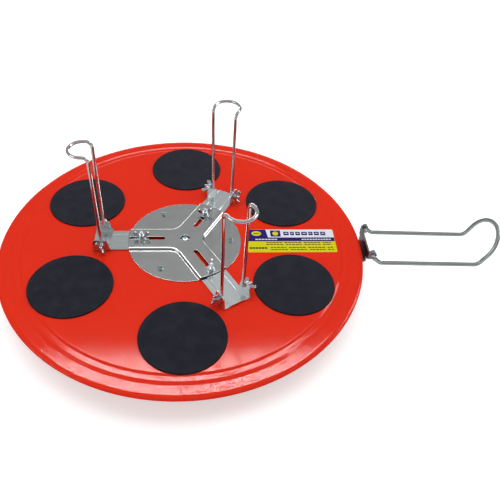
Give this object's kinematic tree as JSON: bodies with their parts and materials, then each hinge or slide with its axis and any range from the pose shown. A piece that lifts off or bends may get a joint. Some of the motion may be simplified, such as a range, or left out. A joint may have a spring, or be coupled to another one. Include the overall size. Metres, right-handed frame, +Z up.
{
  "type": "cable coil pay-off turntable",
  "caption": "Round low turntable on a ball bearing that pays out coiled cable, with sliding arms, folding wire uprights held by wing nuts and a folding carry handle.",
  "frame": {"origin": "on the spinning axis, at the bottom face of the rubber ring the base stands on", "axes": "+Z up along the spinning axis, +X from the spinning axis towards the handle, +Y to the left of the handle seen from the axis"},
  "size_m": [0.6404, 0.46, 0.1875],
  "materials": {
    "red_paint": "gloss powder coat with a fine grain",
    "pad_foam": "matt closed-cell foam",
    "ring_rubber": "matt",
    "label_film": "gloss printed film, plain coloured blocks",
    "plate_steel": "satin",
    "zinc_steel": "bright zinc plate",
    "chrome_wire": "polished",
    "bearing_steel": "polished",
    "cage_brass": "satin"
  },
  "bodies": {
    "base": {"base_pan": "red_paint", "foot_ring": "ring_rubber", "lower_race": "bearing_steel", "spindle": "zinc_steel", "retaining_washer": "zinc_steel", "centre_screw": "zinc_steel", "handle_bracket": "zinc_steel", "rivet_1": "zinc_steel", "rivet_2": "zinc_steel"},
    "ball_ring": {"ball_cage": "cage_brass", "balls": "bearing_steel"},
    "table": {"deck": "red_paint", "pad_1": "pad_foam", "pad_2": "pad_foam", "pad_3": "pad_foam", "pad_4": "pad_foam", "pad_5": "pad_foam", "pad_6": "pad_foam", "label": "label_film", "centre_plate": "plate_steel", "plate_screw_1": "zinc_steel", "plate_screw_2": "zinc_steel", "plate_screw_3": "zinc_steel", "hub": "zinc_steel", "upper_race": "bearing_steel"},
    "arm_1": {"arm_1": "zinc_steel", "clamp_stud_1": "zinc_steel", "clamp_washer_1": "zinc_steel"},
    "upright_1": {"upright_1": "chrome_wire"},
    "slot_nut_1": {"slot_nut_1": "zinc_steel"},
    "ear_nut_1a": {"ear_nut_1a": "zinc_steel"},
    "ear_nut_1b": {"ear_nut_1b": "zinc_steel"},
    "arm_2": {"arm_2": "zinc_steel", "clamp_stud_2": "zinc_steel", "clamp_washer_2": "zinc_steel"},
    "upright_2": {"upright_2": "chrome_wire"},
    "slot_nut_2": {"slot_nut_2": "zinc_steel"},
    "ear_nut_2a": {"ear_nut_2a": "zinc_steel"},
    "ear_nut_2b": {"ear_nut_2b": "zinc_steel"},
    "arm_3": {"arm_3": "zinc_steel", "clamp_stud_3": "zinc_steel", "clamp_washer_3": "zinc_steel"},
    "upright_3": {"upright_3": "chrome_wire"},
    "slot_nut_3": {"slot_nut_3": "zinc_steel"},
    "ear_nut_3a": {"ear_nut_3a": "zinc_steel"},
    "ear_nut_3b": {"ear_nut_3b": "zinc_steel"},
    "handle": {"handle": "zinc_steel"}
  },
  "joints": [
    {"name": "table_spin", "type": "hinge", "parent": "base", "child": "table", "pos_m": [0, 0, 0.046], "axis": [0, 0, 1], "continuous": true},
    {"name": "ball_ring_spin", "type": "hinge", "parent": "base", "child": "ball_ring", "pos_m": [0, 0, 0.0326], "axis": [0, 0, 1], "continuous": true},
    {"name": "arm_1_slide", "type": "slide", "parent": "table", "child": "arm_1", "axis": [-1, 0, 0], "range_m": [-0.019, 0.0128]},
    {"name": "upright_1_fold", "type": "hinge", "parent": "arm_1", "child": "upright_1", "pos_m": [-0.1025, 0, 0.058], "axis": [0, -1, 0], "range_deg": [-30, 75]},
    {"name": "slot_nut_1_turn", "type": "hinge", "parent": "arm_1", "child": "slot_nut_1", "pos_m": [-0.0545, 0, 0.055], "axis": [0, 0, 1], "continuous": true},
    {"name": "ear_nut_1a_turn", "type": "hinge", "parent": "upright_1", "child": "ear_nut_1a", "pos_m": [-0.1025, -0.021, 0.058], "axis": [0, -1, 0], "continuous": true},
    {"name": "ear_nut_1b_turn", "type": "hinge", "parent": "upright_1", "child": "ear_nut_1b", "pos_m": [-0.1025, 0.021, 0.058], "axis": [0, -1, 0], "continuous": true},
    {"name": "arm_2_slide", "type": "slide", "parent": "table", "child": "arm_2", "axis": [0.5, 0.866, 0], "range_m": [-0.0165, 0.0153]},
    {"name": "upright_2_fold", "type": "hinge", "parent": "arm_2", "child": "upright_2", "pos_m": [0.05, 0.0866, 0.058], "axis": [-0.866, 0.5, 0], "range_deg": [-30, 75]},
    {"name": "slot_nut_2_turn", "type": "hinge", "parent": "arm_2", "child": "slot_nut_2", "pos_m": [0.026, 0.04503, 0.055], "axis": [0, 0, 1], "continuous": true},
    {"name": "ear_nut_2a_turn", "type": "hinge", "parent": "upright_2", "child": "ear_nut_2a", "pos_m": [0.03181, 0.0971, 0.058], "axis": [-0.866, 0.5, 0], "continuous": true},
    {"name": "ear_nut_2b_turn", "type": "hinge", "parent": "upright_2", "child": "ear_nut_2b", "pos_m": [0.06819, 0.0761, 0.058], "axis": [-0.866, 0.5, 0], "continuous": true},
    {"name": "arm_3_slide", "type": "slide", "parent": "table", "child": "arm_3", "axis": [0.5, -0.866, 0], "range_m": [-0.0295, 0.0023]},
    {"name": "upright_3_fold", "type": "hinge", "parent": "arm_3", "child": "upright_3", "pos_m": [0.0565, -0.09786, 0.058], "axis": [0.866, 0.5, 0], "range_deg": [-30, 75]},
    {"name": "slot_nut_3_turn", "type": "hinge", "parent": "arm_3", "child": "slot_nut_3", "pos_m": [0.0325, -0.05629, 0.055], "axis": [0, 0, 1], "continuous": true},
    {"name": "ear_nut_3a_turn", "type": "hinge", "parent": "upright_3", "child": "ear_nut_3a", "pos_m": [0.07469, -0.08736, 0.058], "axis": [0.866, 0.5, 0], "continuous": true},
    {"name": "ear_nut_3b_turn", "type": "hinge", "parent": "upright_3", "child": "ear_nut_3b", "pos_m": [0.03831, -0.10836, 0.058], "axis": [0.866, 0.5, 0], "continuous": true},
    {"name": "handle_fold", "type": "hinge", "parent": "base", "child": "handle", "pos_m": [0.2415, 0, 0.044], "axis": [0, -1, 0], "range_deg": [-10, 110]}
  ],
  "couplings": [
    {"joint": "ball_ring_spin", "follows": "table_spin", "ratio": 0.5}
  ]
}
